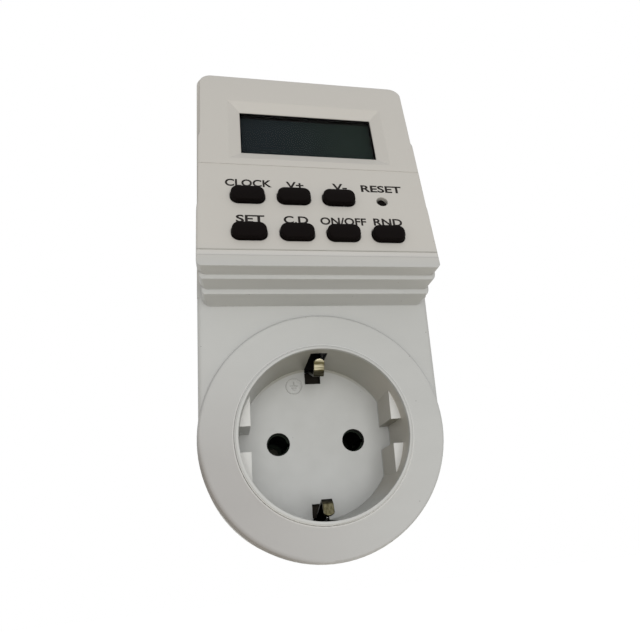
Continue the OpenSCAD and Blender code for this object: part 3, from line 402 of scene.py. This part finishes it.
# Display: its polariser, matt and near black; window: moulded acrylic, so thin that it hardly bends light
cellDark = displayCell("displayPolariser", {
    "left": "#232a2e", "right": "#252f2b", "turnsBetween": (-12, 14), "haze": 6, "detail": 2.0,
    "roughness": (0.5, 0.6), "ior": 1.5, "specular": 0.03})
paneClear = clearPane("clearAcrylic", {
    "colour": "#f2f6f5", "haze": 5, "detail": 2.0, "roughness": (0.0, 0.02), "ior": 1.1, "specular": 0.3})
print("inner materials made")

# Meshes: points closer than this many mm are merged, edges flatter than these degrees are shaded smooth, on
# new pieces, copies of nodes and raised lines, and large faces pull the normals with this weight
meshLook = {"merged": 0.0006, "newAngle": 35, "copyAngle": 22, "lineAngle": 60, "flatWeight": 80}


# Smooth shading up to an angle; the large faces pull the normals, so that flats stay flat
def smoothed(obj, angle):
    mesh = obj.data
    mesh.polygons.foreach_set("use_smooth", np.ones(len(mesh.polygons), dtype=bool))
    mesh.set_sharp_from_angle(angle=math.radians(angle))
    mesh.update()
    flat = obj.modifiers.new("flats", "WEIGHTED_NORMAL")
    flat.keep_sharp = True
    flat.weight = meshLook["flatWeight"]


def finish(obj, material, body="case", stands=()):
    obj.data.materials.clear()
    obj.data.materials.append(material)
    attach(obj, body)
    if stands:
        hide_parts(*stands)


# A mesh of points and faces as an object, its doubles merged; normals are recalculated only where asked
def newPiece(name, points, faces, angle, recalculated=True):
    mesh = bpy.data.meshes.new(name)
    mesh.from_pydata(points.reshape(-1, 3).tolist(), [], faces)
    work = bmesh.new()
    work.from_mesh(mesh)
    bmesh.ops.remove_doubles(work, verts=work.verts, dist=meshLook["merged"] * mm)
    if recalculated:
        bmesh.ops.recalc_face_normals(work, faces=work.faces)
    work.to_mesh(mesh)
    work.free()
    obj = bpy.data.objects.new(name, mesh)
    bpy.context.collection.objects.link(obj)
    smoothed(obj, angle)
    return obj


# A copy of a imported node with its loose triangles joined, so that its round faces shade smooth
def mergedCopy(nodeName, pieceName):
    source = nodes[nodeName].data
    points = np.empty(len(source.vertices) * 3, dtype=np.float32)
    corners = np.empty(len(source.loops), dtype=np.int32)
    source.vertices.foreach_get("co", points)
    source.loops.foreach_get("vertex_index", corners)
    faces = corners.reshape(-1, 3).tolist()
    return newPiece(pieceName, points, faces, meshLook["copyAngle"], recalculated=False)


# A grid of points (rows, columns, 3) as a surface: quads between rows, closed round the columns, with a flat
# face on the first and last rows if they are open ends
def surface(name, points, ends=True, angle=meshLook["newAngle"]):
    rows, columns = points.shape[:2]
    i, j = np.meshgrid(np.arange(rows - 1), np.arange(columns), indexing="ij")
    k = (j + 1) % columns
    quads = [i * columns + j, i * columns + k, (i + 1) * columns + k, (i + 1) * columns + j]
    faces = np.stack(quads, axis=-1).reshape(-1, 4).tolist()
    if ends:
        ring = np.arange(columns)
        faces += [ring[::-1].tolist(), ((rows - 1) * columns + ring).tolist()]
    return newPiece(name, points, faces, angle)


# Case and socket, and the metal that shows from outside
shells = {
    "front_cover": ("frontCoverShell", whiteAbs, "cover_plastic"),
    "back_cover": ("backCoverShell", whiteAbs, "cover_plastic"),
    "socket_insert": ("socketCup", whiteUrea, "socket_plastic"),
    "live_pin": ("livePin", pinNickel, "nickel_brass"),
    "neutral_pin": ("neutralPin", pinNickel, "nickel_brass"),
    "earth_clip_top": ("earthClipTop", highlitClipNickel, "nickel_brass"),
    "earth_clip_bottom": ("earthClipBottom", shadedClipNickel, "nickel_brass"),
    "live_contact": ("liveContact", tarnishShadeBrass, "brass"),
    "neutral_contact": ("neutralContact", tarnishShadeBrass, "brass"),
    "lcd_glass": ("displayGlass", cellDark, "lcd_cell"),
    "display_window": ("displayPane", paneClear, "clear_window"),
}
for nodeName, (pieceName, material, slotName) in shells.items():
    finish(mergedCopy(nodeName, pieceName), material, stands=[nodeName])
print("case, socket and outer metal dressed")

# Keys, in mm on the face: size, rounding and crown of the top, flange and plunger behind the cover, columns
# and rows; then how many rings the crown and its edge have, the points of a ring, and the least half height
# and corner of one
keyLook = {
    "length": 7.7, "height": 4.1, "corner": 1.7, "out": 1.85, "topRound": 0.6, "crown": 0.15,
    "flange": 0.7, "flangeTop": -2.4, "flangeThick": 0.8, "plungerEnd": -5.2, "plungerR": 1.5,
    "pitch": 10.75, "columns": 4, "rows": (-10.05, -20.8),
    "crownRings": 6, "edgeRings": 8, "around": 64, "least": 0.03,
}
# Column and row of each key
keyPlaces = {
    "clock_key": (0, 0), "up_key": (1, 0), "down_key": (2, 0),
    "set_key": (0, 1), "countdown_key": (1, 1), "on_off_key": (2, 1), "random_key": (3, 1),
}


def columnMiddle(column):
    return (column - (keyLook["columns"] - 1) / 2) * keyLook["pitch"]


# Rings of a rounded rectangle: a quarter circle at each corner, its middle standing in from the half sizes by
# the corner's radius, one ring for each entry of the lists
def roundedRings(halfLong, halfHigh, corner, out, around):
    turn = (np.arange(around) + 0.5) / around * 2 * np.pi
    halfLong, halfHigh, corner, out = (
        np.asarray(part, dtype=float)[:, None] for part in (halfLong, halfHigh, corner, out))
    across = np.sign(np.cos(turn)) * (halfLong - corner) + corner * np.cos(turn)
    up = np.sign(np.sin(turn)) * (halfHigh - corner) + corner * np.sin(turn)
    return across, up, out + 0 * turn


# A key from its middle line outwards: the top falls off with the square of the way to its edge, a quarter
# circle rounds that edge, and straight sides lead to the flange and the round plunger
def makeKey(node, column, row, look):
    way = np.linspace(0, 1, look["crownRings"], endpoint=False)
    middle = look["height"] / 2 - look["least"]
    arc = np.linspace(0, np.pi / 2, look["edgeRings"])
    inset = np.concatenate([
        middle + way * (look["topRound"] - middle), look["topRound"] * (1 - np.sin(arc)), [0]])
    low = look["flangeTop"] - look["flangeThick"]
    out = np.concatenate([
        look["out"] - look["crown"] * way ** 2,
        look["out"] - look["crown"] - look["topRound"] * (1 - np.cos(arc)),
        [look["flangeTop"], look["flangeTop"], low, low, look["plungerEnd"]]])
    corner = np.maximum(look["corner"] - inset, look["least"])
    sides = [np.concatenate([side, [side[-1] + look["flange"]] * 2, [look["plungerR"]] * 2])
             for side in (look["length"] / 2 - inset, look["height"] / 2 - inset, corner)]
    across, up, out = roundedRings(*sides, out, look["around"])
    points = onFace(across + columnMiddle(column), up + look["rows"][row], out)
    key = surface(node.replace("_", "") + "Cap", points)
    finish(key, blackAbs, body=node, stands=[node])


for nodeName, (column, row) in keyPlaces.items():
    makeKey(nodeName, column, row, keyLook)

# Reset key, in mm on the face: its domed top, flange, plunger, column and row; then the rings of the dome,
# the points of a ring, and the first ring's radius
resetLook = {
    "r": 1.2, "top": -0.65, "dome": 0.25, "flangeR": 2.6, "flangeTop": -2.4, "plungerR": 1.2,
    "plungerEnd": -5.2, "column": 3, "row": -10.3, "domeRings": 7, "around": 40, "least": 0.02,
}


# The reset key is turned about its own axis: a domed top on a quarter ellipse, a flange and a plunger
def makeResetKey(look):
    arc = np.linspace(0, np.pi / 2, look["domeRings"])[1:]
    low = look["flangeTop"] - keyLook["flangeThick"]
    radius = np.concatenate([
        [look["least"]], look["r"] * np.sin(arc),
        [look["r"], look["flangeR"], look["flangeR"], look["plungerR"], look["plungerR"]]])
    out = np.concatenate([
        [look["top"]], look["top"] - look["dome"] * (1 - np.cos(arc)),
        [look["flangeTop"], look["flangeTop"], low, low, look["plungerEnd"]]])
    across, up, out = roundedRings(radius, radius, radius, out, look["around"])
    key = surface("resetKeyPin", onFace(across + columnMiddle(look["column"]), up + look["row"], out))
    finish(key, blackAbs, body="reset_key", stands=["reset_key"])


makeResetKey(resetLook)
print("keys made")

# Printed names of the keys' functions, in mm: cap height, and how far the film stands out and reaches in;
# then, in the font's own units, its boldness and half the thickness of a word before it is a film
legendLook = {"capHeight": 2.2, "film": 0.02, "sunk": 0.01, "bold": 0.028, "halfBlock": 0.5, "curveSteps": 4}
# Word, middle across, width and base line up the face, in mm
legends = {
    "legendCLOCK": ("CLOCK", -15.8, 10.8, -7.0), "legendVUp": ("V+", -4.9, 4.2, -7.2),
    "legendVDown": ("V-", 6.0, 3.6, -7.2), "legendRESET": ("RESET", 16.45, 10.3, -7.35),
    "legendSET": ("SET", -15.8, 6.4, -17.9), "legendCD": ("C.D", -5.4, 5.7, -17.9),
    "legendONOFF": ("ON/OFF", 5.75, 11.0, -18.0), "legendRND": ("RND", 16.6, 7.1, -17.9),
}


# The word's outline as a mesh in the font's own units, with its corners' places as an array
def wordMesh(word, look):
    curve = bpy.data.curves.new("word", "FONT")
    curve.body, curve.resolution_u = word, look["curveSteps"]
    curve.extrude, curve.offset = look["halfBlock"], look["bold"]
    text = bpy.data.objects.new("word", curve)
    bpy.context.collection.objects.link(text)
    bpy.context.view_layer.update()
    mesh = bpy.data.meshes.new_from_object(text)
    bpy.data.objects.remove(text)
    points = np.empty(len(mesh.vertices) * 3)
    mesh.vertices.foreach_get("co", points)
    return mesh, points.reshape(-1, 3)


# Foot and height of a capital in the font's own units, from a letter with a flat foot and top
flatLetter = wordMesh("E", legendLook)[1][:, 1]
capFoot, capUnits = flatLetter.min(), flatLetter.max() - flatLetter.min()


# A word stretched to its width and cap height, then laid on the leaning face as a thin film
def makeLegend(name, word, middle, width, base, look):
    mesh, points = wordMesh(word, look)
    low, high = points.min(axis=0), points.max(axis=0)
    across = (points[:, 0] - (low[0] + high[0]) / 2) / (high[0] - low[0]) * width + middle
    up = (points[:, 1] - capFoot) / capUnits * look["capHeight"] + base
    out = np.where(points[:, 2] > 0, look["film"], -look["sunk"])
    mesh.vertices.foreach_set("co", onFace(across, up, out).ravel())
    mesh.update()
    obj = bpy.data.objects.new(name, mesh)
    bpy.context.collection.objects.link(obj)
    finish(obj, printInk)


for legendName, legend in legends.items():
    makeLegend(legendName, *legend, legendLook)
print("legends printed, font cap height", round(float(capUnits), 3))

# Black border of the window, in mm on the face: a skirt down the pane's raised sides, and a mask on its back
windowLook = {
    "middle": 12.15, "halfWide": 17.05, "halfHigh": 7.1, "skirtTop": -1.24, "skirtFoot": -2.19,
    "skirtThick": 0.03, "maskOut": -2.97, "maskThick": 0.015, "maskIn": 0.2, "maskWide": 1.4, "maskHigh": 1.9,
}


# A flat or upright frame: the four corners of a rectangle, carried through a four-cornered section whose
# corners say how far they stand in from the sides and from the top and foot, and their height out of the face
def makeFrame(name, look, section):
    corners = np.array([[-1, -1], [1, -1], [1, 1], [-1, 1]])
    inSide, inHigh, out = (np.array(part)[:, None] for part in zip(*section, section[0]))
    across = corners[:, 0] * (look["halfWide"] - inSide)
    up = corners[:, 1] * (look["halfHigh"] - inHigh) + look["middle"]
    border = surface(name, onFace(across, up, out + 0 * up), ends=False)
    finish(border, borderInk)


skirtTop, skirtFoot, skirtThick = (windowLook[part] for part in ("skirtTop", "skirtFoot", "skirtThick"))
makeFrame("windowSkirt", windowLook, [
    (0, 0, skirtTop), (-skirtThick, -skirtThick, skirtTop), (-skirtThick, -skirtThick, skirtFoot),
    (0, 0, skirtFoot)])
maskIn = (windowLook["maskIn"], windowLook["maskIn"])
maskEdge = (-windowLook["maskWide"], -windowLook["maskHigh"])
maskFront, maskBack = windowLook["maskOut"], windowLook["maskOut"] - windowLook["maskThick"]
makeFrame("windowMask", windowLook, [
    (*maskEdge, maskFront), (*maskIn, maskFront), (*maskIn, maskBack), (*maskEdge, maskBack)])
print("window border printed")

# Earth sign moulded into the socket's floor, in mm: a ring, and an upright and three bars by their ends, as
# raised lines; then how many points the ring has, and the section of a line
earthSign = {
    "middle": (-4.9, 14.6), "r": 2.0, "line": 0.16, "rise": 0.2, "floorOut": 24.5, "ringPoints": 48,
    "linePoints": 12,
    "lines": {"Upright": [(0, 1.1), (0, 0.1)], "BarWide": [(-1.0, 0.1), (1.0, 0.1)],
              "BarMiddle": [(-0.65, -0.45), (0.65, -0.45)], "BarSmall": [(-0.3, -1.0), (0.3, -1.0)]},
}


# A raised line: an ellipse, set across each point of a flat path and half sunk in the floor
def raisedLine(name, path, closed, look):
    path = np.asarray(path, dtype=float)
    if closed:
        before, after = np.roll(path, 1, axis=0), np.roll(path, -1, axis=0)
    else:
        before, after = np.vstack([path[:1], path[:-1]]), np.vstack([path[1:], path[-1:]])
    along = after - before
    along /= np.linalg.norm(along, axis=1)[:, None]
    sideways = np.stack([-along[:, 1], along[:, 0]], axis=1)
    turn = np.linspace(0, 2 * np.pi, look["linePoints"], endpoint=False)
    offset = look["line"] * np.cos(turn)
    flat = path[:, None, :] + sideways[:, None, :] * offset[None, :, None] + np.array(look["middle"])
    out = np.broadcast_to(look["floorOut"] + look["rise"] * np.sin(turn), flat.shape[:2])
    points = np.stack([flat[..., 0], -out, flat[..., 1]], axis=-1) * mm
    if closed:
        points = np.concatenate([points, points[:1]])
    line = surface(name, points, ends=not closed, angle=meshLook["lineAngle"])
    finish(line, whiteUrea)


ringTurn = np.linspace(0, 2 * np.pi, earthSign["ringPoints"], endpoint=False)
signRing = np.stack([np.cos(ringTurn), np.sin(ringTurn)], axis=1) * earthSign["r"]
raisedLine("earthSignRing", signRing, True, earthSign)
for part, path in earthSign["lines"].items():
    raisedLine("earthSign" + part, path, False, earthSign)
print("earth sign moulded")

# Nodes that keep their own shape, under the finish of each
finishes = {
    slotShadeSteel: ["earth_bracket", "earth_rivets"], tarnishShadeBrass: ["live_terminal", "neutral_terminal"],
    zincSteel: ["battery_tabs", "clock_crystal", "board_screws", "display_screws", "case_screws"],
    boardGreen: ["power_board", "display_board"],
    relayBlue: ["relay"], filmYellow: ["mains_capacitor"], canSleeve: ["smoothing_capacitor"],
    resistorTan: ["dropper_resistors"], varistorBlue: ["surge_varistor"], batteryGreen: ["backup_battery"],
    liveBrown: ["live_wire"], switchedBlack: ["switched_wire"], neutralBlue: ["neutral_wire"],
    cableGrey: ["ribbon_cable"], frameWhite: ["lcd_frame"], zebraBlack: ["zebra_strips"],
    silicone: ["key_mat"], blackEpoxy: ["rectifier_diodes", "relay_driver", "controller_chip"],
}
for material, names in finishes.items():
    for nodeName in names:
        nodes[nodeName].data.materials.clear()
        nodes[nodeName].data.materials.append(material)
print("inner parts finished")

# Camera: place and sensor width in mm, turn in degrees, focal length in pixels of a frame this many pixels
# wide, shift, and the nearest and farthest that it shows, in metres
cameraLook = {
    "place": (-22.325, -177.906, -20.197), "turn": (106.575, 5.079, -12.721), "focal": 609.18,
    "frameWide": 640, "sensor": 36, "shift": (-0.0795, 0.0310), "near": 0.001, "far": 10,
}
# Stage: floor below the case, even light all round, and a square soft lamp straight in front of the case;
# lengths in metres, except for the paper's fibres in mm, and the lamp's power in watts
stageLook = {
    "floorAt": -0.34, "floorHalf": 3.0, "paper": "#efe9dd", "paperLift": 0.8, "paperRoughness": 0.9,
    "fibre": 0.8, "fibreDetail": 3.0, "fibreBump": 0.05, "fibreHigh": 0.05, "sky": 0.48,
    "lampAt": (0, -0.65, -0.02), "lampAim": (0, -0.03, 0.03), "lampSize": 0.46, "lampPower": 1.9,
}


def addCamera(look):
    data = bpy.data.cameras.new("camera")
    data.sensor_width = look["sensor"]
    data.lens = look["focal"] / look["frameWide"] * look["sensor"]
    data.shift_x, data.shift_y = look["shift"]
    data.clip_start, data.clip_end = look["near"], look["far"]
    camera = bpy.data.objects.new("camera", data)
    camera.location = Vector(look["place"]) * mm
    camera.rotation_euler = Euler([math.radians(angle) for angle in look["turn"]])
    bpy.context.collection.objects.link(camera)
    bpy.context.scene.camera = camera


# 1 for a ray that the camera, a mirror-like surface or a clear one sends, else 0
def seenRay(tree):
    ray = addNode(tree, "ShaderNodeLightPath")
    seen = addNode(tree, "ShaderNodeMath", {"operation": "MAXIMUM"},
                   {0: ray.outputs["Is Camera Ray"], 1: ray.outputs["Is Glossy Ray"]})
    return addNode(tree, "ShaderNodeMath", {"operation": "MAXIMUM"},
                   {0: seen.outputs[0], 1: ray.outputs["Is Transmission Ray"]}).outputs[0]


# White paper floor: matt, lit as it is, and lifted to white where it is seen
def addFloor(look):
    material, tree = newMaterial("floorPaper")
    fibre = addNode(tree, "ShaderNodeTexNoise", {"Scale": 1.0, "Detail": look["fibreDetail"]},
                    {"Vector": placeOver(tree, look["fibre"])})
    bump = addNode(tree, "ShaderNodeBump",
                   {"Strength": look["fibreBump"], "Distance": look["fibreHigh"] * mm},
                   {"Height": fibre.outputs["Fac"]})
    lift = addNode(tree, "ShaderNodeMath", {"operation": "MULTIPLY", 1: look["paperLift"]},
                   {0: seenRay(tree)})
    paper = addNode(tree, "ShaderNodeBsdfPrincipled",
                    {"Base Color": linear(look["paper"]), "Roughness": look["paperRoughness"],
                     "Emission Color": (1, 1, 1, 1)},
                    {"Emission Strength": lift.outputs[0], "Normal": bump.outputs[0]})
    addNode(tree, "ShaderNodeOutputMaterial", {}, {"Surface": paper.outputs[0]})
    half, drop = look["floorHalf"], look["floorAt"]
    mesh = bpy.data.meshes.new("floor")
    mesh.from_pydata([(-half, -half, drop), (half, -half, drop), (half, half, drop), (-half, half, drop)],
                     [], [(0, 1, 2, 3)])
    mesh.materials.append(material)
    floor = bpy.data.objects.new("floor", mesh)
    bpy.context.collection.objects.link(floor)


# Even pale light all round, and plain white where it is seen
def addSky(look):
    world = bpy.data.worlds.new("studio")
    bpy.context.scene.world = world
    world.use_nodes = True
    tree = world.node_tree
    tree.nodes.clear()
    level = addNode(tree, "ShaderNodeMix", {2: look["sky"], 3: 1.0}, {0: seenRay(tree)})
    sky = addNode(tree, "ShaderNodeBackground", {"Color": (1, 1, 1, 1)}, {"Strength": level.outputs[0]})
    addNode(tree, "ShaderNodeOutputWorld", {}, {"Surface": sky.outputs[0]})


# A square lamp turned towards a point of the case; neither the camera nor a ray through the pane sees it
def addLamp(look):
    data = bpy.data.lights.new("softbox", "AREA")
    data.shape, data.size, data.energy = "SQUARE", look["lampSize"], look["lampPower"]
    lamp = bpy.data.objects.new("softbox", data)
    lamp.location = look["lampAt"]
    back = Vector(look["lampAt"]) - Vector(look["lampAim"])
    lamp.rotation_euler = back.to_track_quat("Z", "Y").to_euler()
    lamp.visible_camera = lamp.visible_transmission = False
    bpy.context.collection.objects.link(lamp)


addCamera(cameraLook)
addFloor(stageLook)
addSky(stageLook)
addLamp(stageLook)
bpy.context.scene.view_settings.view_transform = "Standard"
print("stage set")
